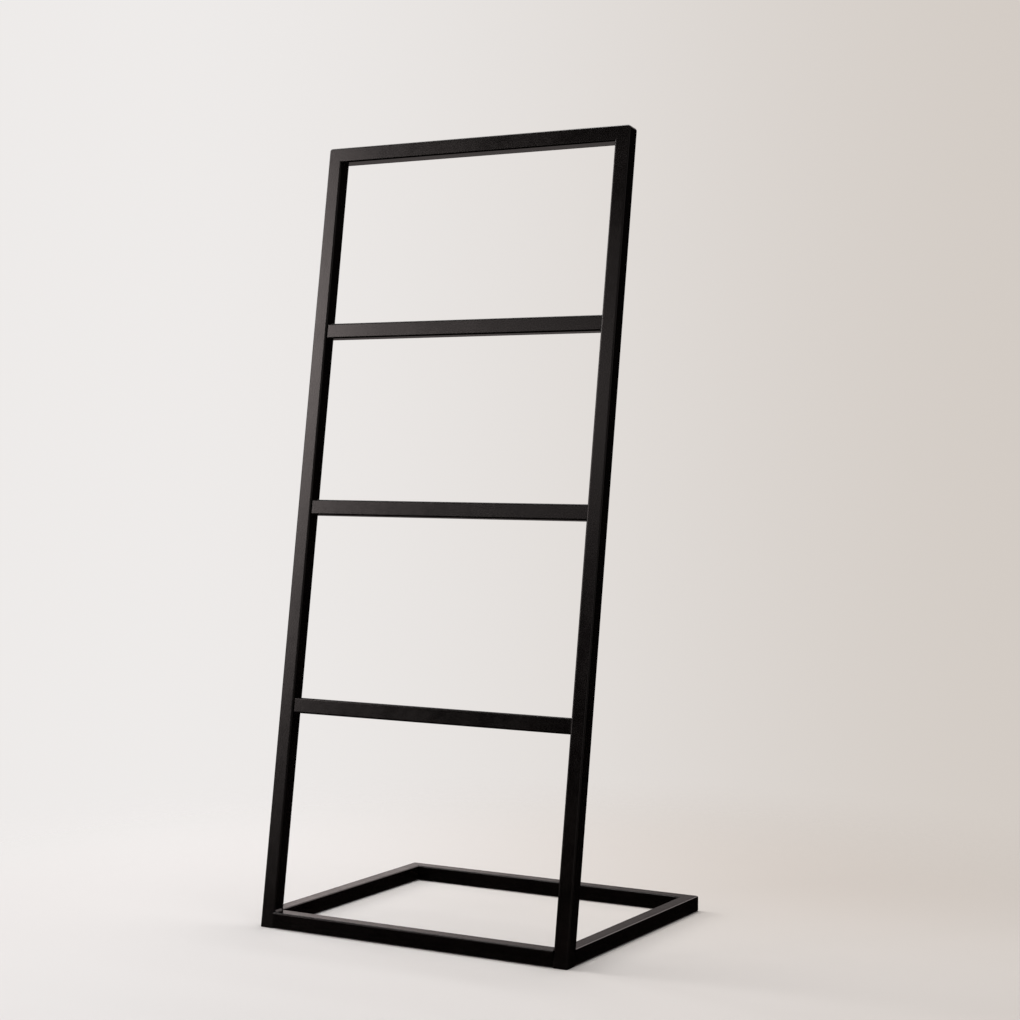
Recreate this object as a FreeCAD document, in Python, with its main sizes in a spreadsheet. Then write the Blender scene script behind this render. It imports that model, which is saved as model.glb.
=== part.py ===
import FreeCAD, Part
import Sketcher
import math
import os

# Standing rack of welded square steel tube, powder coated.
#
# A ladder frame (two uprights, a top rail and three hanging rungs) leans back over a flat, level base
# frame. The uprights run down to the floor at the base's front corners. The top corners and the rear
# base corners are mitred; the rungs are shallower than the uprights and butt between them, midway
# between their front and back faces. Plastic foot plugs close the uprights' lower ends and two
# push-in glides carry the rear rail, so the steel stands a little off the floor.
#
# Millimetres. +X is to the right seen from the front, +Y to the back, +Z up. The origin is the
# middle of the footprint at floor level.

doc = FreeCAD.newDocument("standing_rack")

# ---------------------------------------------------------------------------------------------
# Driving dimensions
# ---------------------------------------------------------------------------------------------
DIMS = [
    ("frame_width", 450.0, "outer width over the uprights"),
    ("tube_face", 20.0, "tube side seen from the front (uprights, top rail, base rail height)"),
    ("tube_depth", 20.0, "tube side from front to back (uprights, top rail, base rail width)"),
    ("rung_height", 20.0, "rung tube, side seen from the front"),
    ("rung_depth", 15.0, "rung tube, side from front to back"),
    ("wall", 1.5, "tube wall"),
    ("corner_radius", 2.0, "outside corner radius of the tubes"),
    ("bore_radius", 0.8, "inside corner radius of the tubes"),
    ("lean", 9.0, "backward lean of the ladder from upright, degrees"),
    ("ladder_length", 1028.0, "floor to top edge, along the uprights' front faces"),
    ("upper_top", 790.2, "floor to the upper rung's top edge, along the slope"),
    ("middle_top", 555.8, "floor to the middle rung's top edge, along the slope"),
    ("lower_top", 296.6, "floor to the lower rung's top edge, along the slope"),
    ("base_depth", 366.0, "front rail's front face to rear rail's back face"),
    ("toe_lead", 0.6, "uprights' front faces at the floor, ahead of the front rail's face"),
    ("ground_gap", 0.5, "thickness of the foot plugs' and glides' heads under the steel"),
    ("seam", 1.0, "width of the butt weld along a mitre"),
    ("weld_leg", 2.0, "leg of the base's fillet welds"),
    ("corner_round", 4.0, "rounding of the mitred corners, ground after welding"),
    ("grind_play", 0.03, "distance of the ground outline from the tubes' faces"),
    ("end_round", 1.2, "rounding of the rungs' cut ends"),
    ("groove_depth", 0.25, "rung welds, below the rungs' faces"),
    ("vent_diameter", 6.0, "vent holes in the uprights, hidden behind the rungs' ends"),
    ("plug_inset", 0.6, "edge of the plug's head inside the tube's outline"),
    ("plug_play", 0.15, "play between the plug's stem and the bore"),
    ("plug_length", 16.0, "height of the plug's stem inside the tube"),
    ("plug_wall", 1.6, "wall of the plug's hollow stem"),
    ("glide_diameter", 16.0, "head of a rear glide"),
    ("glide_stem", 5.9, "stem of a rear glide"),
    ("glide_barb", 7.0, "barb of a rear glide, inside the tube"),
    ("glide_hole", 6.0, "hole for a rear glide"),
    ("glide_setback", 38.0, "rear glide's centre from the frame's outer side"),
]
sheet = doc.addObject("Spreadsheet::Sheet", "Dims")
V = {}
for row, (alias, value, words) in enumerate(DIMS, start=1):
    sheet.set("A%d" % row, alias)
    sheet.set("B%d" % row, str(value))
    sheet.setAlias("B%d" % row, alias)
    sheet.set("C%d" % row, words)
    V[alias] = value
doc.recompute()

# Recurring distances, written once
TOE_Y = "(-(Dims.base_depth + Dims.toe_lead + Dims.ground_gap * tan(Dims.lean)) / 2)"
RAIL_Y = "(%s + Dims.toe_lead)" % TOE_Y  # front rail's front face
RUNG_LENGTH = "(Dims.frame_width - 2 * Dims.tube_face)"
MITRE_SHIFT = "(Dims.seam * 0.70710678)"  # half the seam's width, measured along a tube


# ---------------------------------------------------------------------------------------------
# Helpers
# ---------------------------------------------------------------------------------------------
def new_body(label):
    body = doc.addObject("PartDesign::Body", label)
    body.Label = label
    return body


def origin_plane(body, role):
    for feature in body.Origin.OriginFeatures:
        if feature.Role == role:
            return feature
    raise RuntimeError("no origin plane " + role)


def new_sketch(body, name, role, offset=None):
    """A sketch on one of the body's own origin planes, moved along the plane's normal by offset."""
    sketch = body.newObject("Sketcher::SketchObject", name)
    sketch.AttachmentSupport = [(origin_plane(body, role), "")]
    sketch.MapMode = "FlatFace"
    if offset is not None:
        sketch.setExpression("AttachmentOffset.Base.z", offset)
    return sketch


def pin_point(sketch, geometry, end, axis, expression, guess):
    """Fixes one coordinate of a point: on the axis, or at a distance from it that follows the sheet."""
    if expression == "0":
        sketch.addConstraint(Sketcher.Constraint("PointOnObject", geometry, end, -2 if axis == "X" else -1))
        return
    index = sketch.addConstraint(Sketcher.Constraint("Distance" + axis, -1, 1, geometry, end, guess))
    name = "p%d%s" % (geometry, axis.lower())
    sketch.renameConstraint(index, name)
    sketch.setExpression("Constraints." + name, expression)


def add_loop(sketch, corners):
    """A closed polygon. Each corner is a pair of expressions in the sheet's names."""
    count = len(corners)
    guess = [
        (40.0 + 30.0 * math.cos(2 * math.pi * k / count), 40.0 + 30.0 * math.sin(2 * math.pi * k / count))
        for k in range(count)
    ]
    first = sketch.GeometryCount
    for k in range(count):
        a, b = guess[k], guess[(k + 1) % count]
        sketch.addGeometry(
            Part.LineSegment(FreeCAD.Vector(a[0], a[1], 0), FreeCAD.Vector(b[0], b[1], 0)), False
        )
    for k in range(count):
        sketch.addConstraint(
            Sketcher.Constraint("Coincident", first + k, 2, first + (k + 1) % count, 1)
        )
    for k, (x, y) in enumerate(corners):
        pin_point(sketch, first + k, 1, "X", x, guess[k][0])
        pin_point(sketch, first + k, 1, "Y", y, guess[k][1])


def add_circle(sketch, x, y, diameter):
    geometry = sketch.addGeometry(Part.Circle(FreeCAD.Vector(20, 20, 0), FreeCAD.Vector(0, 0, 1), 3.0), False)
    pin_point(sketch, geometry, 3, "X", x, 20.0)
    pin_point(sketch, geometry, 3, "Y", y, 20.0)
    index = sketch.addConstraint(Sketcher.Constraint("Diameter", geometry, 6.0))
    name = "d%d" % geometry
    sketch.renameConstraint(index, name)
    sketch.setExpression("Constraints." + name, diameter)


def rectangle(x0, y0, x1, y1):
    return [(x0, y0), (x1, y0), (x1, y1), (x0, y1)]


def add_pad(body, sketch, name, length, reverse=False):
    pad = body.newObject("PartDesign::Pad", name)
    pad.Profile = sketch
    pad.setExpression("Length", length)
    pad.Reversed = reverse
    doc.recompute()
    return pad


def cut_through(body, sketch, name):
    """Removes the sketch's outline right through, on both sides of its plane."""
    before = body.Tip.Shape.Volume
    pocket = body.newObject("PartDesign::Pocket", name)
    pocket.Profile = sketch
    pocket.Type = "ThroughAll"
    pocket.Midplane = True
    doc.recompute()
    if not pocket.Shape.Volume < before - 1e-3:
        raise RuntimeError("%s removed nothing" % name)
    return pocket


def cut_to_depth(body, sketch, name, depth, reverse=False):
    before = body.Tip.Shape.Volume
    pocket = body.newObject("PartDesign::Pocket", name)
    pocket.Profile = sketch
    pocket.setExpression("Length", depth)
    pocket.Reversed = reverse
    doc.recompute()
    if not pocket.Shape.Volume < before - 1e-3:
        raise RuntimeError("%s removed nothing" % name)
    return pocket


def edges_where(shape, test):
    return ["Edge%d" % (k + 1) for k, edge in enumerate(shape.Edges) if test(edge)]


def long_edges(feature, axis, outside):
    """Names of the tube's four outside, or four inside, corner edges. axis is the tube's direction."""
    shape = feature.Shape
    box = shape.BoundBox
    low = (box.XMin, box.YMin, box.ZMin)
    high = (box.XMax, box.YMax, box.ZMax)
    others = [k for k in range(3) if k != axis]

    def test(edge):
        if len(edge.Vertexes) != 2:
            return False
        p, q = (tuple(v.Point) for v in edge.Vertexes)
        if abs(p[axis] - q[axis]) < 0.5 * (high[axis] - low[axis]):
            return False
        on_edge = all(min(abs(p[k] - low[k]), abs(p[k] - high[k])) < 1e-4 for k in others)
        return on_edge == outside

    return edges_where(shape, test)


def add_fillet(body, base, edges, name, radius):
    if not edges:
        raise RuntimeError("%s has no edges" % name)
    fillet = body.newObject("PartDesign::Fillet", name)
    fillet.Base = (base, edges)
    fillet.setExpression("Radius", radius)
    doc.recompute()
    return fillet


def place(obj, x="0", y="0", z="0", axis=None, angle=None):
    """Binds the object's Placement to the sheet."""
    if axis is not None:
        obj.Placement = FreeCAD.Placement(FreeCAD.Vector(), FreeCAD.Rotation(FreeCAD.Vector(*axis), 10.0))
        obj.setExpression("Placement.Rotation.Angle", angle)
    for name, expression in (("x", x), ("y", y), ("z", z)):
        if expression != "0":
            obj.setExpression("Placement.Base." + name, expression)


def place_on_ladder(obj, x, behind="0", along="0"):
    """Places an object in the leaning plane: behind the uprights' front faces, and up the slope."""
    place(
        obj,
        x,
        "%s + (%s) * sin(Dims.lean) + (%s) * cos(Dims.lean)" % (TOE_Y, along, behind),
        "(%s) * cos(Dims.lean) - (%s) * sin(Dims.lean)" % (along, behind),
        (1, 0, 0),
        "-Dims.lean",
    )


def tube_loops(width, height, x_sign=1):
    """Outline and bore of a tube whose corner is at the sketch's origin."""
    sign = "" if x_sign > 0 else "-"
    outer = rectangle("0", "0", "%s%s" % (sign, width), height)
    inner = rectangle(
        "%sDims.wall" % sign,
        "Dims.wall",
        "%s(%s - Dims.wall)" % (sign, width),
        "%s - Dims.wall" % height,
    )
    return outer, inner


def round_tube(body, pad, axis):
    """Rolled corners: outside and inside radii along the whole tube."""
    outer = add_fillet(
        body, pad, long_edges(pad, axis, True), body.Label + "_corners", "Dims.corner_radius"
    )
    return add_fillet(
        body, outer, [
            e for e in edges_where(
                outer.Shape,
                lambda edge: inside_corner(edge, outer.Shape.BoundBox, axis),
            )
        ], body.Label + "_bore_corners", "Dims.bore_radius"
    )


def inside_corner(edge, box, axis):
    if len(edge.Vertexes) != 2:
        return False
    low = (box.XMin, box.YMin, box.ZMin)
    high = (box.XMax, box.YMax, box.ZMax)
    p, q = (tuple(v.Point) for v in edge.Vertexes)
    if abs(p[axis] - q[axis]) < 0.5 * (high[axis] - low[axis]):
        return False
    return all(
        abs(min(p[k] - low[k], high[k] - p[k]) - V["wall"]) < 1e-4 for k in range(3) if k != axis
    )


def ground_outline(name, role, left, low, high, thick):
    """The outside of a welded frame, its two far corners and their edges ground round.

    The frame lies in the plane, from left to left + frame_width and up to high, and is thick deep. It
    stands clear of the tubes' faces by grind_play, so that it trims only the corners.
    """
    standing = role == "XZ_Plane"
    body = new_body(name)
    sketch = new_sketch(body, name + "_section", role, "Dims.grind_play" if standing else "-Dims.grind_play")
    add_loop(
        sketch,
        rectangle(
            "%s - Dims.grind_play" % left,
            low,
            "%s + Dims.frame_width + Dims.grind_play" % left,
            "%s + Dims.grind_play" % high,
        ),
    )
    pad = add_pad(body, sketch, name + "_slab", "%s + 2 * Dims.grind_play" % thick, reverse=standing)
    deep, tall = (1, 2) if standing else (2, 1)
    box = pad.Shape.BoundBox
    front, back = (box.YMin, box.YMax) if standing else (box.ZMin, box.ZMax)
    foot, head = (box.ZMin, box.ZMax) if standing else (box.YMin, box.YMax)

    def all_at(edge, axis, value):
        return all(abs(vertex.Point[axis] - value) < 1e-4 for vertex in edge.Vertexes)

    corners = edges_where(
        pad.Shape,
        lambda edge: all_at(edge, tall, head) and abs(edge.Vertexes[0].Point[deep] - edge.Vertexes[-1].Point[deep]) > 1,
    )
    rounded = add_fillet(body, pad, corners, name + "_corners", "Dims.corner_round + Dims.grind_play")
    outline = edges_where(
        rounded.Shape,
        lambda edge: (all_at(edge, deep, front) or all_at(edge, deep, back)) and not all_at(edge, tall, foot),
    )
    add_fillet(body, rounded, outline, name + "_edges", "Dims.corner_radius + Dims.grind_play")
    return body


def grind(label, bar, outline):
    """The bar, trimmed to a frame's ground outline."""
    piece = doc.addObject("Part::Common", label)
    piece.Label = label
    piece.Base = bar
    piece.Tool = outline
    doc.recompute()
    return piece


def end_edges(shape, at):
    """Names of the outline edges of the flat end face at x = at."""
    for face in shape.Faces:
        box = face.BoundBox
        if abs(box.XMin - at) < 1e-4 and abs(box.XMax - at) < 1e-4:
            outline = face.OuterWire.Edges
            return edges_where(shape, lambda edge: any(edge.isSame(other) for other in outline))
    raise RuntimeError("no end face at %g" % at)


nodes = []

# ---------------------------------------------------------------------------------------------
# Uprights: mitred at the top, cut level at the foot, vented into each rung and the front rail
# ---------------------------------------------------------------------------------------------
for side, sign in (("left", 1), ("right", -1)):
    label = side + "_upright"
    s = "" if sign > 0 else "-"
    body = new_body(label + "_bar")
    sketch = new_sketch(body, label + "_section", "XY_Plane")
    for loop in tube_loops("Dims.tube_face", "Dims.tube_depth", sign):
        add_loop(sketch, loop)
    pad = add_pad(body, sketch, label + "_tube", "Dims.ladder_length")
    round_tube(body, pad, 2)

    # 45 degree mitre, falling from the outer top edge to the inner face
    sketch = new_sketch(body, label + "_mitre_outline", "XZ_Plane")
    top = "Dims.ladder_length - %s" % MITRE_SHIFT
    add_loop(
        sketch,
        [
            ("%s(-5)" % s, "%s + 5" % top),
            ("%s(Dims.tube_face + 5)" % s, "%s - Dims.tube_face - 5" % top),
            ("%s(Dims.tube_face + 5)" % s, "Dims.ladder_length + 5"),
        ],
    )
    cut_through(body, sketch, label + "_mitre")

    # level cut at the foot
    sketch = new_sketch(body, label + "_foot_outline", "YZ_Plane")
    add_loop(
        sketch,
        [
            ("-5", "Dims.ground_gap / cos(Dims.lean) - 5 * tan(Dims.lean)"),
            ("-5", "-5"),
            ("Dims.tube_depth + 5", "-5"),
            ("Dims.tube_depth + 5", "Dims.ground_gap / cos(Dims.lean) + (Dims.tube_depth + 5) * tan(Dims.lean)"),
        ],
    )
    cut_through(body, sketch, label + "_foot_cut")

    # vent holes through the inner wall, each covered by the end of a rung or of the front rail
    sketch = new_sketch(body, label + "_vent_outline", "YZ_Plane", "%sDims.tube_face" % s)
    for level in ("upper_top", "middle_top", "lower_top"):
        add_circle(
            sketch,
            "Dims.tube_depth / 2",
            "Dims.%s - Dims.rung_height / 2" % level,
            "Dims.vent_diameter",
        )
    add_circle(
        sketch,
        "Dims.tube_depth / 2",
        "(Dims.ground_gap + Dims.tube_face / 2) / cos(Dims.lean) + Dims.tube_depth / 2 * tan(Dims.lean)",
        "Dims.vent_diameter",
    )
    cut_to_depth(body, sketch, label + "_vents", "Dims.wall * 1.5", reverse=(sign < 0))

    outline = ground_outline(
        label + "_outline",
        "XZ_Plane",
        "0" if sign > 0 else "-Dims.frame_width",
        "-20",
        "Dims.ladder_length",
        "Dims.tube_depth",
    )
    upright = grind(label, body, outline)
    place_on_ladder(upright, "%sDims.frame_width / 2" % ("-" if sign > 0 else ""))
    nodes.append(upright)

# ---------------------------------------------------------------------------------------------
# Top rail: the uprights' tube, mitred at both ends
# ---------------------------------------------------------------------------------------------
body = new_body("top_rail_bar")
sketch = new_sketch(body, "top_rail_section", "YZ_Plane")
for loop in tube_loops("Dims.tube_depth", "Dims.tube_face"):
    add_loop(sketch, loop)
pad = add_pad(body, sketch, "top_rail_tube", "Dims.frame_width")
round_tube(body, pad, 0)
sketch = new_sketch(body, "top_rail_mitre_outline", "XZ_Plane")
reach = "Dims.tube_face + 5 + %s" % MITRE_SHIFT
add_loop(sketch, [("-5", "-5"), (reach, "-5"), ("-5", reach)])
add_loop(
    sketch,
    [
        ("Dims.frame_width + 5", "-5"),
        ("Dims.frame_width + 5", reach),
        ("Dims.frame_width - (%s)" % reach, "-5"),
    ],
)
cut_through(body, sketch, "top_rail_mitres")
top_outline = ground_outline("top_outline", "XZ_Plane", "0", "-60", "Dims.tube_face", "Dims.tube_depth")
rail = grind("top_rail", body, top_outline)
place_on_ladder(rail, "-Dims.frame_width / 2", "0", "Dims.ladder_length - Dims.tube_face")
nodes.append(rail)

# ---------------------------------------------------------------------------------------------
# Rungs: shallower tube, midway between the uprights' front and back faces
# ---------------------------------------------------------------------------------------------
RUNG_BEHIND = "(Dims.tube_depth - Dims.rung_depth) / 2"
for name in ("upper", "middle", "lower"):
    label = name + "_rung"
    body = new_body(label)
    sketch = new_sketch(body, label + "_section", "YZ_Plane")
    for loop in tube_loops("Dims.rung_depth", "Dims.rung_height"):
        add_loop(sketch, loop)
    pad = add_pad(body, sketch, label + "_tube", RUNG_LENGTH)
    tube = round_tube(body, pad, 0)
    ends = end_edges(tube.Shape, 0.0) + end_edges(tube.Shape, V["frame_width"] - 2 * V["tube_face"])
    add_fillet(body, tube, ends, label + "_ends", "Dims.end_round")
    place_on_ladder(
        body,
        "-Dims.frame_width / 2 + Dims.tube_face",
        RUNG_BEHIND,
        "Dims.%s_top - Dims.rung_height" % name,
    )
    nodes.append(body)

# ---------------------------------------------------------------------------------------------
# Base frame, level, standing on the plugs and glides
# ---------------------------------------------------------------------------------------------
body = new_body("base_front_rail")
sketch = new_sketch(body, "base_front_rail_section", "YZ_Plane")
for loop in tube_loops("Dims.tube_depth", "Dims.tube_face"):
    add_loop(sketch, loop)
pad = add_pad(body, sketch, "base_front_rail_tube", RUNG_LENGTH)
round_tube(body, pad, 0)
place(body, "-Dims.frame_width / 2 + Dims.tube_face", RAIL_Y, "Dims.ground_gap")
nodes.append(body)

body = new_body("base_rear_rail_bar")
sketch = new_sketch(body, "base_rear_rail_section", "YZ_Plane")
for loop in tube_loops("Dims.tube_depth", "Dims.tube_face"):
    add_loop(sketch, loop)
pad = add_pad(body, sketch, "base_rear_rail_tube", "Dims.frame_width")
round_tube(body, pad, 0)
sketch = new_sketch(body, "base_rear_rail_mitre_outline", "XY_Plane")
reach = "Dims.tube_depth + 5 + %s" % MITRE_SHIFT
add_loop(sketch, [("-5", "-5"), (reach, "-5"), ("-5", reach)])
add_loop(
    sketch,
    [
        ("Dims.frame_width + 5", "-5"),
        ("Dims.frame_width + 5", reach),
        ("Dims.frame_width - (%s)" % reach, "-5"),
    ],
)
cut_through(body, sketch, "base_rear_rail_mitres")
sketch = new_sketch(body, "base_rear_rail_glide_outline", "XY_Plane")
add_circle(sketch, "Dims.glide_setback", "Dims.tube_depth / 2", "Dims.glide_hole")
add_circle(sketch, "Dims.frame_width - Dims.glide_setback", "Dims.tube_depth / 2", "Dims.glide_hole")
cut_to_depth(body, sketch, "base_rear_rail_glide_holes", "Dims.wall * 1.5", reverse=True)
rear_outline = ground_outline("rear_outline", "XY_Plane", "0", "-60", "Dims.tube_depth", "Dims.tube_face")
rail = grind("base_rear_rail", body, rear_outline)
place(
    rail,
    "-Dims.frame_width / 2",
    "%s + Dims.base_depth - Dims.tube_depth" % RAIL_Y,
    "Dims.ground_gap",
)
nodes.append(rail)

# The side rails start at the uprights' sloping backs, in line with the uprights' sides. Their length
# runs from the front rail's front face.
BACK_AT = "(Dims.tube_depth / cos(Dims.lean) - Dims.toe_lead + (%s) * tan(Dims.lean))"
for side, sign in (("left", 1), ("right", -1)):
    label = "base_%s_rail" % side
    s = "" if sign > 0 else "-"
    body = new_body(label + "_bar")
    sketch = new_sketch(body, label + "_section", "XZ_Plane")
    for loop in tube_loops("Dims.tube_depth", "Dims.tube_face", sign):
        add_loop(sketch, loop)
    pad = add_pad(body, sketch, label + "_tube", "Dims.base_depth", reverse=True)
    round_tube(body, pad, 1)

    # rear mitre
    sketch = new_sketch(body, label + "_mitre_outline", "XY_Plane")
    end = "Dims.base_depth - %s" % MITRE_SHIFT
    add_loop(
        sketch,
        [
            ("%s(-5)" % s, "%s + 5" % end),
            ("%s(Dims.tube_depth + 5)" % s, "%s - Dims.tube_depth - 5" % end),
            ("%s(Dims.tube_depth + 5)" % s, "Dims.base_depth + 5"),
        ],
    )
    cut_through(body, sketch, label + "_mitre")

    # front end cut to the slope of the upright's back
    sketch = new_sketch(body, label + "_front_outline", "YZ_Plane")
    add_loop(
        sketch,
        [
            ("-5", "-5"),
            (BACK_AT % "Dims.ground_gap - 5", "-5"),
            (BACK_AT % "Dims.ground_gap + Dims.tube_face + 5", "Dims.tube_face + 5"),
            ("-5", "Dims.tube_face + 5"),
        ],
    )
    cut_through(body, sketch, label + "_front_cut")

    outline = ground_outline(
        label + "_outline",
        "XY_Plane",
        "0" if sign > 0 else "-Dims.frame_width",
        "-20",
        "Dims.base_depth",
        "Dims.tube_face",
    )
    rail = grind(label, body, outline)
    place(rail, "%sDims.frame_width / 2" % ("-" if sign > 0 else ""), RAIL_Y, "Dims.ground_gap")
    nodes.append(rail)


# ---------------------------------------------------------------------------------------------
# Welds. Each is modelled once at the left side and mirrored to the right in one group.
# ---------------------------------------------------------------------------------------------
def mirrored_group(label, pieces, middle="Dims.frame_width / 2"):
    """A group node: the pieces, and their mirror images about the frame's middle plane."""
    links = list(pieces)
    for piece in pieces:
        mirror = doc.addObject("Part::Mirroring", piece.Label + "_mirror")
        mirror.Source = piece
        mirror.Normal = FreeCAD.Vector(1, 0, 0)
        mirror.setExpression("Base.x", middle)
        links.append(mirror)
    group = doc.addObject("Part::Compound", label)
    group.Label = label
    group.Links = links
    doc.recompute()
    return group


def mitre_seam(name, across, deep, along_z, outline):
    """The butt weld of a mitre: a slice of the tube's wall, as wide as the seam, on the 45 degree plane.

    across is the tube side in the plane of the corner, deep the other side. The corner's outer edge is
    at the origin of the tube that runs along Z (along_z) or along Y.
    """
    body = new_body(name + "_wall")
    if along_z:
        sketch = new_sketch(body, name + "_section", "XY_Plane")
        for loop in tube_loops(across, deep):
            add_loop(sketch, loop)
        pad = add_pad(body, sketch, name + "_tube", across)
        round_tube(body, pad, 2)
        role = "XZ_Plane"
    else:
        sketch = new_sketch(body, name + "_section", "XZ_Plane")
        for loop in tube_loops(across, deep):
            add_loop(sketch, loop)
        pad = add_pad(body, sketch, name + "_tube", across, reverse=True)
        round_tube(body, pad, 1)
        role = "XY_Plane"
    sketch = new_sketch(body, name + "_below", role)
    add_loop(
        sketch,
        [
            ("-5", "-5"),
            ("%s + 5 - %s" % (across, MITRE_SHIFT), "-5"),
            ("-5", "%s + 5 - %s" % (across, MITRE_SHIFT)),
        ],
    )
    cut_through(body, sketch, name + "_lower_side")
    sketch = new_sketch(body, name + "_above", role)
    add_loop(
        sketch,
        [
            ("-5", "%s + 5 + %s" % (across, MITRE_SHIFT)),
            ("%s + 5 + %s" % (across, MITRE_SHIFT), "-5"),
            ("%s + 5" % across, "%s + 5" % across),
        ],
    )
    cut_through(body, sketch, name + "_upper_side")
    return grind(name, body, outline)


seam = mitre_seam("top_seam", "Dims.tube_face", "Dims.tube_depth", True, top_outline)
group = mirrored_group("top_corner_welds", [seam])
place_on_ladder(group, "-Dims.frame_width / 2", "0", "Dims.ladder_length - Dims.tube_face")
nodes.append(group)


# Rung welds: a narrow bead in the groove between the rung's rounded end and the upright's flank, all
# round the rung and sunk below its faces
def rung_outline(body, name, inset):
    """The rung's outline, moved inwards, with its rolled corners."""
    sketch = new_sketch(body, name, "YZ_Plane")
    for a, b in (((3, 1), (12, 1)), ((14, 3), (14, 17)), ((12, 19), (3, 19)), ((1, 17), (1, 3))):
        sketch.addGeometry(Part.LineSegment(FreeCAD.Vector(*a, 0), FreeCAD.Vector(*b, 0)), False)
    for turn, centre in ((1.5, (12, 3)), (0.0, (12, 17)), (0.5, (3, 17)), (1.0, (3, 3))):
        circle = Part.Circle(FreeCAD.Vector(*centre, 0), FreeCAD.Vector(0, 0, 1), 2.0)
        sketch.addGeometry(Part.ArcOfCircle(circle, turn * math.pi, (turn + 0.5) * math.pi), False)
    for k in range(4):
        sketch.addConstraint(Sketcher.Constraint("Tangent", k, 2, 4 + k, 1))
        sketch.addConstraint(Sketcher.Constraint("Tangent", 4 + k, 2, (k + 1) % 4, 1))
        sketch.addConstraint(Sketcher.Constraint("Vertical" if k % 2 else "Horizontal", k))
    for k in (5, 6, 7):
        sketch.addConstraint(Sketcher.Constraint("Equal", 4, k))
    pin_point(sketch, 0, 1, "Y", inset, 1.0)
    pin_point(sketch, 1, 1, "X", "Dims.rung_depth - %s" % inset, 14.0)
    pin_point(sketch, 2, 1, "Y", "Dims.rung_height - %s" % inset, 19.0)
    pin_point(sketch, 3, 1, "X", inset, 1.0)
    index = sketch.addConstraint(Sketcher.Constraint("Radius", 4, 2.0))
    sketch.renameConstraint(index, "roll")
    sketch.setExpression("Constraints.roll", "Dims.corner_radius - %s" % inset)
    return sketch


def rung_collar(name):
    blank = new_body(name + "_blank")
    add_pad(blank, rung_outline(blank, name + "_outline", "Dims.groove_depth"), name + "_fill", "Dims.end_round")
    cut_through(blank, rung_outline(blank, name + "_inner_outline", "(Dims.end_round + 0.1)"), name + "_inner")

    # the rounded end that the bead lies against
    gauge = new_body(name + "_rung_end")
    sketch = new_sketch(gauge, name + "_end_section", "YZ_Plane")
    add_loop(sketch, rectangle("0", "0", "Dims.rung_depth", "Dims.rung_height"))
    pad = add_pad(gauge, sketch, name + "_end_stub", "Dims.end_round * 4")
    rolled = add_fillet(gauge, pad, long_edges(pad, 0, True), name + "_end_corners", "Dims.corner_radius")
    add_fillet(gauge, rolled, end_edges(rolled.Shape, 0.0), name + "_end_rounding", "Dims.end_round")
    bead = doc.addObject("Part::Cut", name)
    bead.Label = name
    bead.Base = blank
    bead.Tool = gauge
    doc.recompute()
    return bead


for name in ("upper", "middle", "lower"):
    collar = rung_collar(name + "_collar")
    group = mirrored_group(name + "_rung_welds", [collar], RUNG_LENGTH + " / 2")
    place_on_ladder(
        group,
        "-Dims.frame_width / 2 + Dims.tube_face",
        RUNG_BEHIND,
        "Dims.%s_top - Dims.rung_height" % name,
    )
    nodes.append(group)

# Front rail welds: a bead along the rail's top at each upright
bead = new_body("front_rail_bead")
sketch = new_sketch(bead, "front_rail_bead_outline", "XZ_Plane", "-Dims.tube_depth * 0.23")
add_loop(sketch, [("0", "Dims.tube_face"), ("Dims.weld_leg", "Dims.tube_face"), ("0", "Dims.tube_face + Dims.weld_leg")])
add_pad(bead, sketch, "front_rail_bead_run", "Dims.tube_depth * 0.65", reverse=True)
group = mirrored_group("front_rail_welds", [bead], RUNG_LENGTH + " / 2")
place(group, "-Dims.frame_width / 2 + Dims.tube_face", RAIL_Y, "Dims.ground_gap")
nodes.append(group)

# Side rail welds: a bead across the rail's top at the upright's back, and one up the inside corner
# between side rail and front rail
across = new_body("side_rail_top_bead")
sketch = new_sketch(across, "side_rail_top_bead_outline", "YZ_Plane", "Dims.corner_radius")
top_level = "Dims.ground_gap + Dims.tube_face"
add_loop(
    sketch,
    [
        (BACK_AT % top_level, "Dims.tube_face"),
        ("%s + Dims.weld_leg" % (BACK_AT % top_level), "Dims.tube_face"),
        (
            "%s + Dims.weld_leg * sin(Dims.lean)" % (BACK_AT % top_level),
            "Dims.tube_face + Dims.weld_leg * cos(Dims.lean)",
        ),
    ],
)
add_pad(across, sketch, "side_rail_top_bead_run", "Dims.tube_face - 2 * Dims.corner_radius")
inside = new_body("side_rail_inside_bead")
sketch = new_sketch(inside, "side_rail_inside_bead_outline", "XY_Plane", "Dims.corner_radius")
add_loop(
    sketch,
    [
        ("Dims.tube_depth", "Dims.tube_depth"),
        ("Dims.tube_depth + Dims.weld_leg", "Dims.tube_depth"),
        ("Dims.tube_depth", "Dims.tube_depth + Dims.weld_leg"),
    ],
)
add_pad(inside, sketch, "side_rail_inside_bead_run", "Dims.tube_face - 2 * Dims.corner_radius")
group = mirrored_group("side_rail_welds", [across, inside])
place(group, "-Dims.frame_width / 2", RAIL_Y, "Dims.ground_gap")
nodes.append(group)

seam = mitre_seam("rear_seam", "Dims.tube_depth", "Dims.tube_face", False, rear_outline)
group = mirrored_group("rear_corner_welds", [seam])
place(
    group,
    "-Dims.frame_width / 2",
    "%s + Dims.base_depth - Dims.tube_depth" % RAIL_Y,
    "Dims.ground_gap",
)
nodes.append(group)

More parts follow.
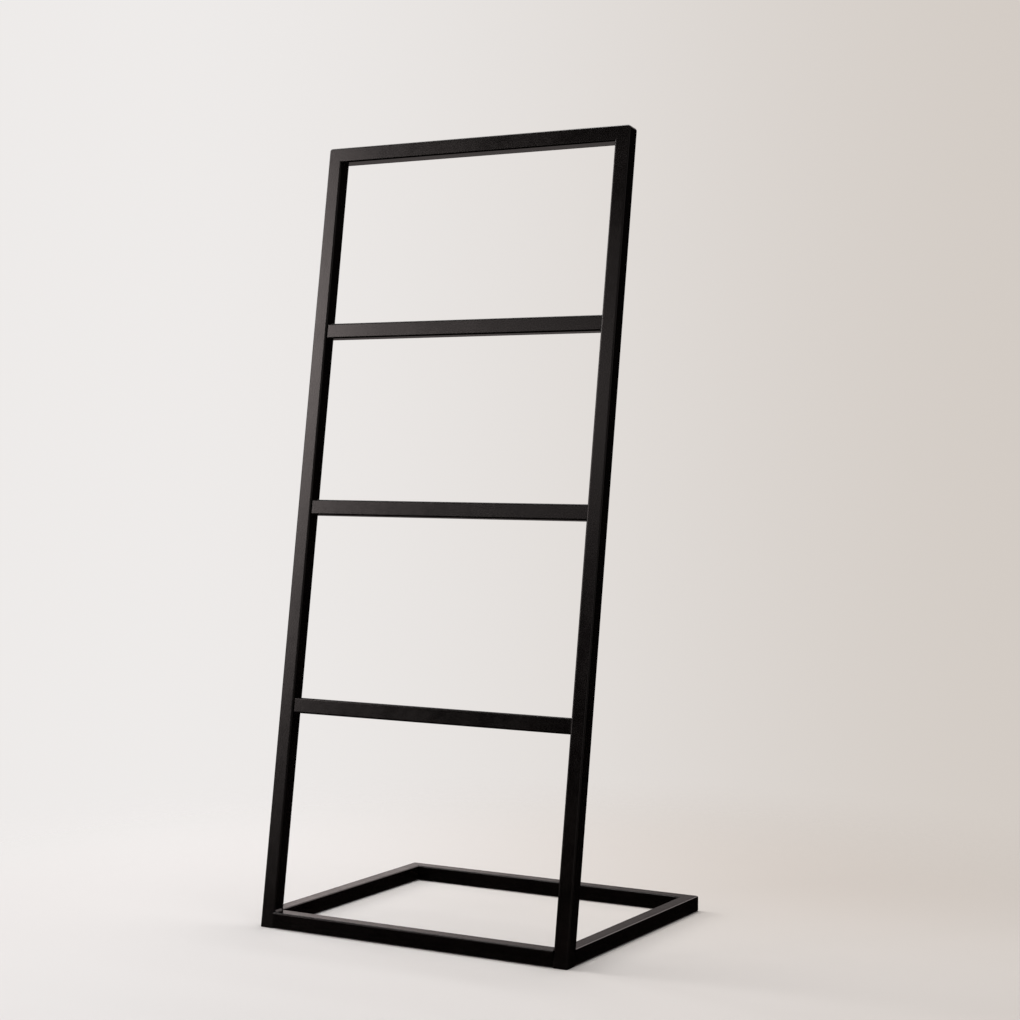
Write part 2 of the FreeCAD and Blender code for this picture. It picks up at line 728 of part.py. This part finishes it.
# ---------------------------------------------------------------------------------------------
# Foot plugs: a flat head under the level cut, and a hollow stem up the leaning bore
# ---------------------------------------------------------------------------------------------
DEPTH_LEVEL = "Dims.tube_depth / cos(Dims.lean)"
STEM_IN = "(Dims.wall + Dims.plug_play)"
for side, sign in (("left", 1), ("right", -1)):
    label = side + "_foot_plug"
    s = "" if sign > 0 else "-"
    body = new_body(label)
    sketch = new_sketch(body, label + "_head_outline", "XY_Plane")
    add_loop(
        sketch,
        rectangle(
            "%sDims.plug_inset" % s,
            "Dims.plug_inset",
            "%s(Dims.tube_face - Dims.plug_inset)" % s,
            "%s - Dims.plug_inset" % DEPTH_LEVEL,
        ),
    )
    pad = add_pad(body, sketch, label + "_head", "Dims.ground_gap")
    corners = add_fillet(
        body,
        pad,
        edges_where(pad.Shape, lambda e: abs(e.Vertexes[0].Z - e.Vertexes[-1].Z) > V["ground_gap"] / 2),
        label + "_head_corners",
        "Dims.corner_radius - Dims.plug_inset / 2",
    )
    rim = add_fillet(
        body,
        corners,
        edges_where(corners.Shape, lambda e: all(abs(v.Z) < 1e-4 for v in e.Vertexes)),
        label + "_head_rim",
        "Dims.ground_gap * 0.3",
    )
    sketch = new_sketch(body, label + "_stem_outline", "XY_Plane", "Dims.ground_gap")
    for inset in (STEM_IN, "(%s + Dims.plug_wall)" % STEM_IN):
        add_loop(
            sketch,
            rectangle(
                "%s%s" % (s, inset),
                "%s / cos(Dims.lean)" % inset,
                "%s(Dims.tube_face - %s)" % (s, inset),
                "(Dims.tube_depth - %s) / cos(Dims.lean)" % inset,
            ),
        )
    pad = body.newObject("PartDesign::Pad", label + "_stem")
    pad.Profile = sketch
    pad.UseCustomVector = True
    pad.Direction = FreeCAD.Vector(0, math.sin(math.radians(V["lean"])), math.cos(math.radians(V["lean"])))
    pad.AlongSketchNormal = False
    pad.setExpression("Direction.y", "sin(Dims.lean)")
    pad.setExpression("Direction.z", "cos(Dims.lean)")
    pad.setExpression("Length", "Dims.plug_length")
    doc.recompute()

    # the stem's outside corners follow the bore's
    def stem_corner(edge):
        if len(edge.Vertexes) != 2:
            return False
        p, q = (v.Point for v in edge.Vertexes)
        if abs(p.z - q.z) < V["plug_length"] * 0.8:
            return False
        middle = (abs(p.x) + abs(q.x)) / 2
        return min(abs(middle - V["wall"] - V["plug_play"]), abs(middle - V["tube_face"] + V["wall"] + V["plug_play"])) < 1e-3

    add_fillet(body, pad, edges_where(pad.Shape, stem_corner), label + "_stem_corners", "Dims.bore_radius * 1.25")
    place(
        body,
        "%sDims.frame_width / 2" % ("-" if sign > 0 else ""),
        "%s + Dims.ground_gap * tan(Dims.lean)" % TOE_Y,
        "0",
    )
    nodes.append(body)

# ---------------------------------------------------------------------------------------------
# Rear glides: a domed-edge disc with a barbed stem, pushed into the rear rail from below
# ---------------------------------------------------------------------------------------------
for side, sign in (("left", 1), ("right", -1)):
    label = "rear_%s_glide" % side
    body = new_body(label)
    sketch = new_sketch(body, label + "_profile", "XZ_Plane")
    under = "Dims.ground_gap + Dims.wall"
    add_loop(
        sketch,
        [
            ("0", "0"),
            ("Dims.glide_diameter / 2", "0"),
            ("Dims.glide_diameter / 2", "Dims.ground_gap"),
            ("Dims.glide_stem / 2", "Dims.ground_gap"),
            ("Dims.glide_stem / 2", "%s + 0.2" % under),
            ("Dims.glide_barb / 2", "%s + 0.6" % under),
            ("Dims.glide_stem / 2 - 0.5", "%s + 4" % under),
            ("0", "%s + 4" % under),
        ],
    )
    turn = body.newObject("PartDesign::Revolution", label + "_turned")
    turn.Profile = sketch
    turn.ReferenceAxis = (sketch, ["V_Axis"])
    turn.Angle = 360.0
    doc.recompute()
    rim = add_fillet(
        body,
        turn,
        edges_where(
            turn.Shape,
            lambda e: abs(e.BoundBox.ZMax) < 1e-4 and abs(e.BoundBox.XMax - V["glide_diameter"] / 2) < 1e-3,
        ),
        label + "_rim",
        "Dims.ground_gap * 0.4",
    )
    place(
        body,
        "%s(Dims.frame_width / 2 - Dims.glide_setback)" % ("-" if sign > 0 else ""),
        "%s + Dims.base_depth - Dims.tube_depth / 2" % RAIL_Y,
        "0",
    )
    nodes.append(body)

# ---------------------------------------------------------------------------------------------
# Checks, then one file per piece
# ---------------------------------------------------------------------------------------------
doc.recompute()
for obj in doc.Objects:
    if "Invalid" in obj.State or "Error" in obj.State:
        raise RuntimeError("%s is %s" % (obj.Label, obj.State))
for node in nodes:
    if node.Shape.isNull() or not node.Shape.isValid() or not node.Shape.Solids:
        raise RuntimeError("%s has no valid solid" % node.Label)

os.makedirs("parts", exist_ok=True)
for node in nodes:
    box = node.Shape.BoundBox
    print(
        "%-18s solids %d volume %9.1f  x %8.2f %8.2f  y %8.2f %8.2f  z %8.2f %8.2f"
        % (
            node.Label,
            len(node.Shape.Solids),
            node.Shape.Volume,
            box.XMin,
            box.XMax,
            box.YMin,
            box.YMax,
            box.ZMin,
            box.ZMax,
        )
    )
    node.Shape.exportStep("parts/%s.step" % node.Label)
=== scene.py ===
import math

import bpy
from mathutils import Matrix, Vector

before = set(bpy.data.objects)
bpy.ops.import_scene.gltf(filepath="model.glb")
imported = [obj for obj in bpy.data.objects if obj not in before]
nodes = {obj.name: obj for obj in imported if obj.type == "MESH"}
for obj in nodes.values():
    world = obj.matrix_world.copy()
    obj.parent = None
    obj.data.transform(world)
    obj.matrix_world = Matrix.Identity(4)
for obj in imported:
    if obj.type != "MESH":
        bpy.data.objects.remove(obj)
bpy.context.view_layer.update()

# Standing rack of welded black steel tube: finish, floor, light and camera.
# Metres, +Z up, the frame's own origin at the middle of the footprint on the floor.

scene = bpy.context.scene


# ---------------------------------------------------------------------------------------------
# Node helpers
# ---------------------------------------------------------------------------------------------
class Tree:
    """Short-hand for building a node tree."""

    def __init__(self, tree):
        self.tree = tree
        tree.nodes.clear()

    def add(self, kind, **settings):
        node = self.tree.nodes.new(kind)
        inputs = settings.pop("inputs", {})
        for key, value in settings.items():
            setattr(node, key, value)
        for key, value in inputs.items():
            self.feed(node, key, value)
        return node

    def feed(self, node, key, value):
        if isinstance(value, bpy.types.NodeSocket):
            self.tree.links.new(value, node.inputs[key])
        else:
            node.inputs[key].default_value = value

    def math(self, operation, a, b=0.0, clamp=False):
        node = self.add("ShaderNodeMath", operation=operation, use_clamp=clamp)
        self.feed(node, 0, a)
        self.feed(node, 1, b)
        return node.outputs[0]

    def ramp(self, value, low, high, to_low=0.0, to_high=1.0, smooth=True):
        node = self.add("ShaderNodeMapRange", interpolation_type="SMOOTHSTEP" if smooth else "LINEAR")
        for key, item in (("Value", value), ("From Min", low), ("From Max", high), ("To Min", to_low), ("To Max", to_high)):
            self.feed(node, key, item)
        return node.outputs["Result"]

    def noise(self, vector, scale, detail=2.0, roughness=0.5, distortion=0.0):
        node = self.add("ShaderNodeTexNoise")
        for key, item in (("Vector", vector), ("Scale", scale), ("Detail", detail), ("Roughness", roughness), ("Distortion", distortion)):
            self.feed(node, key, item)
        return node.outputs["Fac"]

    def mix(self, fac, a, b):
        node = self.add("ShaderNodeMix", data_type="RGBA")
        self.feed(node, 0, fac)
        self.feed(node, 6, a)
        self.feed(node, 7, b)
        return node.outputs[2]


def new_material(name):
    material = bpy.data.materials.new(name)
    material.use_nodes = True
    return material, Tree(material.node_tree)


# ---------------------------------------------------------------------------------------------
# Finishes
# ---------------------------------------------------------------------------------------------
def powder_coat(name, peel=1.0, base_rough=0.155):
    """Satin black powder coat: fine orange peel, a tighter grain in it, and slow drifts of gloss."""
    material, t = new_material(name)
    place = t.add("ShaderNodeTexCoord").outputs["Object"]
    peel_wave = t.noise(place, 620.0, 1.5, 0.45)
    grain = t.noise(place, 2600.0, 2.0, 0.6)
    drift = t.noise(place, 16.0, 3.0, 0.55)
    cloud = t.noise(place, 90.0, 3.0, 0.6)

    colour = t.mix(t.ramp(drift, 0.3, 0.7), (0.0022, 0.0014, 0.0012, 1), (0.0040, 0.0026, 0.0023, 1))
    rough = t.math("ADD", t.ramp(drift, 0.25, 0.75, base_rough - 0.02, base_rough + 0.02), t.ramp(cloud, 0.3, 0.7, -0.015, 0.015))
    rough = t.math("ADD", rough, t.ramp(grain, 0.3, 0.7, -0.02, 0.02))

    height = t.math("ADD", t.math("MULTIPLY", peel_wave, 0.8), t.math("MULTIPLY", grain, 0.2))
    bump = t.add("ShaderNodeBump")
    t.feed(bump, "Strength", 1.0)
    t.feed(bump, "Distance", 0.000022 * peel)
    t.feed(bump, "Height", height)

    shader = t.add("ShaderNodeBsdfPrincipled")
    t.feed(shader, "Base Color", colour)
    t.feed(shader, "Roughness", rough)
    t.feed(shader, "Normal", bump.outputs["Normal"])
    shader.inputs["IOR"].default_value = 1.5
    out = t.add("ShaderNodeOutputMaterial")
    t.feed(out, "Surface", shader.outputs["BSDF"])
    return material


def moulded_plastic(name):
    """Matt black polyethylene with the spark-eroded grain of its mould."""
    material, t = new_material(name)
    place = t.add("ShaderNodeTexCoord").outputs["Object"]
    grain = t.noise(place, 2200.0, 3.0, 0.65)
    drift = t.noise(place, 60.0, 2.0, 0.5)
    colour = t.mix(t.ramp(drift, 0.3, 0.7), (0.010, 0.010, 0.0105, 1), (0.017, 0.017, 0.0175, 1))
    rough = t.ramp(grain, 0.25, 0.75, 0.48, 0.62)
    bump = t.add("ShaderNodeBump")
    t.feed(bump, "Strength", 1.0)
    t.feed(bump, "Distance", 0.00003)
    t.feed(bump, "Height", grain)
    shader = t.add("ShaderNodeBsdfPrincipled")
    t.feed(shader, "Base Color", colour)
    t.feed(shader, "Roughness", rough)
    t.feed(shader, "Normal", bump.outputs["Normal"])
    out = t.add("ShaderNodeOutputMaterial")
    t.feed(out, "Surface", shader.outputs["BSDF"])
    return material


coat = powder_coat("satin_black_coat")
weld_coat = powder_coat("satin_black_coat_weld", peel=1.3, base_rough=0.16)
plastic = moulded_plastic("black_foot_plastic")

for name, node in nodes.items():
    finish = weld_coat if name.endswith("_welds") else plastic if name.endswith(("_plug", "_glide")) else coat
    node.data.materials.clear()
    node.data.materials.append(finish)

# ---------------------------------------------------------------------------------------------
# Floor: a broad pale disc that thins out into the backdrop, its colour painted darker towards the right and the back
# as painted shade
# ---------------------------------------------------------------------------------------------
ACROSS = Vector((math.cos(0.5243), math.sin(0.5243), 0.0))  # the picture's left to right
INTO = Vector((-math.sin(0.5243), math.cos(0.5243), 0.0))  # away from the viewer, along the floor


def make_floor():
    rings = [0.0, 0.28, 0.56, 0.85, 1.12, 1.46, 1.8, 2.25, 2.8]
    spokes = 96
    verts, faces = [(0.0, 0.0, 0.0)], []
    for radius in rings[1:]:
        for k in range(spokes):
            a = 2 * math.pi * k / spokes
            verts.append((radius * math.cos(a), radius * math.sin(a), 0.0))
    for k in range(spokes):
        faces.append((0, 1 + k, 1 + (k + 1) % spokes))
    for r in range(len(rings) - 2):
        for k in range(spokes):
            a, b = 1 + r * spokes + k, 1 + r * spokes + (k + 1) % spokes
            faces.append((a, a + spokes, b + spokes, b))
    mesh = bpy.data.meshes.new("floor")
    mesh.from_pydata(verts, [], faces)
    mesh.update()
    floor = bpy.data.objects.new("floor", mesh)
    scene.collection.objects.link(floor)
    material, t = new_material("pale_floor_painted_shade")
    place = t.add("ShaderNodeTexCoord").outputs["Object"]
    length = t.add("ShaderNodeVectorMath", operation="LENGTH", inputs={0: place}).outputs["Value"]
    side = t.add("ShaderNodeVectorMath", operation="DOT_PRODUCT", inputs={0: place, 1: tuple(ACROSS)}).outputs["Value"]
    depth = t.add("ShaderNodeVectorMath", operation="DOT_PRODUCT", inputs={0: place, 1: tuple(INTO)}).outputs["Value"]
    # painted shade: the floor colour is lighter at the front left and darker towards the right and the back, standing
    # in for light falling from the left
    right = t.mix(t.ramp(depth, -0.45, 0.25), (0.83, 0.80, 0.772, 1), (0.685, 0.64, 0.598, 1))
    left = t.mix(t.ramp(depth, -0.45, 0.25), (0.905, 0.898, 0.898, 1), (0.83, 0.82, 0.82, 1))
    painted_shade_tone = t.mix(t.ramp(side, -0.51, 0.62), left, right)
    speck = t.noise(place, 300.0, 2.0, 0.5)
    shade = t.add("ShaderNodeBsdfDiffuse")
    t.feed(shade, "Color", t.mix(t.ramp(speck, 0.2, 0.8, 0.0, 0.02), painted_shade_tone, (0.7, 0.68, 0.66, 1)))
    clear = t.add("ShaderNodeBsdfTransparent")
    blend = t.add("ShaderNodeMixShader")
    t.feed(blend, 0, t.ramp(length, 0.42, 1.2))
    t.feed(blend, 1, shade.outputs["BSDF"])
    t.feed(blend, 2, clear.outputs["BSDF"])
    out = t.add("ShaderNodeOutputMaterial")
    t.feed(out, "Surface", blend.outputs["Shader"])
    mesh.materials.append(material)
    return floor


floor = make_floor()
floor.visible_glossy = False

# ---------------------------------------------------------------------------------------------
# Studio: pale backdrop painted darker towards the right as painted shade, soft boxes
# ---------------------------------------------------------------------------------------------
# Soft sources around the rack: bearing from straight in front (-Y) or straight behind (+Y), growing to the
# rack's right (+X), height of the middle, spread across and along (all in degrees), strength
SOFT_LIGHTS = (
    ("key", "front", -40.7, 16.4, 2.0, 4.8, 8.4),
    ("key_low", "front", -42.0, 8.0, 3.0, 2.5, 2.0),
    ("key_band", "front", -33.0, 16.8, 6.0, 2.4, 0.9),
    ("left_strip", "front", -64.0, 15.0, 8.0, 9.0, 1.6),
    ("front_left_low", "front", -48.0, -9.0, 5.0, 3.5, 0.6),
    ("front_fill", "front", -3.0, 14.0, 7.0, 8.0, 0.8),
    ("front_right", "front", 45.0, 17.0, 9.0, 6.0, 0.35),
    ("right_fill", "front", 92.0, 8.0, 12.0, 10.0, 0.35),
    ("back_right_fill", "behind", 64.0, 26.0, 12.0, 10.0, 0.5),
    ("back_left_wall", "behind", -40.0, 10.5, 8.5, 2.2, 1.4),
    ("back_left_floor", "behind", -34.0, -24.0, 15.0, 8.0, 0.24),
    ("back_right_floor", "behind", 51.0, -36.0, 9.0, 7.0, 0.65),
    ("back_high", "behind", 0.0, 32.0, 14.0, 6.0, 2.2),
)
ROOM = 0.006


def make_world():
    world = bpy.data.worlds.new("studio")
    scene.world = world
    world.use_nodes = True
    t = Tree(world.node_tree)
    way = t.add("ShaderNodeTexCoord").outputs["Generated"]
    side = t.add("ShaderNodeVectorMath", operation="DOT_PRODUCT", inputs={0: way, 1: tuple(ACROSS)}).outputs["Value"]
    # painted shade: the backdrop seen by the camera is painted darker towards the right, where light from the left
    # falls off
    backdrop_painted_shade = t.mix(t.ramp(side, -0.18, 0.27), (0.855, 0.832, 0.82, 1), (0.648, 0.598, 0.553, 1))
    backdrop_painted_shade = t.mix(t.ramp(side, 0.29, 0.6), backdrop_painted_shade, (0.80, 0.775, 0.758, 1))
    axes = t.add("ShaderNodeSeparateXYZ", inputs={0: way})
    bearings = {
        "front": t.math("ARCTAN2", axes.outputs["X"], t.math("MULTIPLY", axes.outputs["Y"], -1.0)),
        "behind": t.math("ARCTAN2", axes.outputs["X"], axes.outputs["Y"]),
    }
    height = t.math("ARCSINE", axes.outputs["Z"])
    room = None
    for name, where, turn, tilt, wide, tall, strength in SOFT_LIGHTS:
        across = t.math("MULTIPLY", t.math("SUBTRACT", bearings[where], math.radians(turn)), 1.0 / math.radians(wide))
        along = t.math("MULTIPLY", t.math("SUBTRACT", height, math.radians(tilt)), 1.0 / math.radians(tall))
        spread = t.math("ADD", t.math("MULTIPLY", across, across), t.math("MULTIPLY", along, along))
        light = t.math("MULTIPLY", t.math("EXPONENT", t.math("MULTIPLY", spread, -0.5)), strength)
        room = t.math("ADD", light, ROOM if room is None else room)
    lit = t.add("ShaderNodeBackground")
    t.feed(lit, "Color", (1.0, 0.88, 0.855, 1))
    t.feed(lit, "Strength", room)
    view = t.add("ShaderNodeBackground")
    t.feed(view, "Color", backdrop_painted_shade)
    t.feed(view, "Strength", 1.0)
    path = t.add("ShaderNodeLightPath")
    blend = t.add("ShaderNodeMixShader")
    t.feed(blend, 0, path.outputs["Is Camera Ray"])
    t.feed(blend, 1, lit.outputs["Background"])
    t.feed(blend, 2, view.outputs["Background"])
    out = t.add("ShaderNodeOutputWorld")
    t.feed(out, "Surface", blend.outputs["Shader"])


make_world()


def soft_box(name, at, aim, width, height, power, colour=(1.0, 1.0, 1.0)):
    data = bpy.data.lights.new(name, "AREA")
    data.shape = "RECTANGLE"
    data.size, data.size_y = width, height
    data.energy = power
    data.color = colour
    lamp = bpy.data.objects.new(name, data)
    lamp.location = at
    lamp.rotation_euler = (Vector(aim) - Vector(at)).to_track_quat("-Z", "Y").to_euler()
    lamp.visible_camera = False
    scene.collection.objects.link(lamp)
    return lamp


soft_box("overhead", (0.0, 0.45, 3.0), (0.0, 0.0, 0.0), 1.9, 1.9, 58.5, (1.0, 0.985, 0.97))
soft_box("left_soft", (-3.3, 0.3, 2.1), (0.0, 0.0, 0.1), 1.6, 1.6, 44.0, (1.0, 0.985, 0.97))
soft_box("top_left", (-1.1, 0.0, 2.5), (0.0, -0.05, 0.6), 0.55, 1.5, 15.0, (1.0, 0.97, 0.955))

# ---------------------------------------------------------------------------------------------
# Camera
# ---------------------------------------------------------------------------------------------
lens = bpy.data.cameras.new("camera")
lens.sensor_width = 36.0
lens.sensor_fit = "HORIZONTAL"
lens.lens = 75.1253
lens.clip_start = 0.05
camera = bpy.data.objects.new("camera", lens)
camera.location = (1.42195, -2.37458, 0.62693)
camera.rotation_euler = (math.pi / 2 - 0.03307, 0.0, 0.52691)
scene.collection.objects.link(camera)
scene.camera = camera

scene.view_settings.view_transform = "Standard"
scene.view_settings.look = "None"
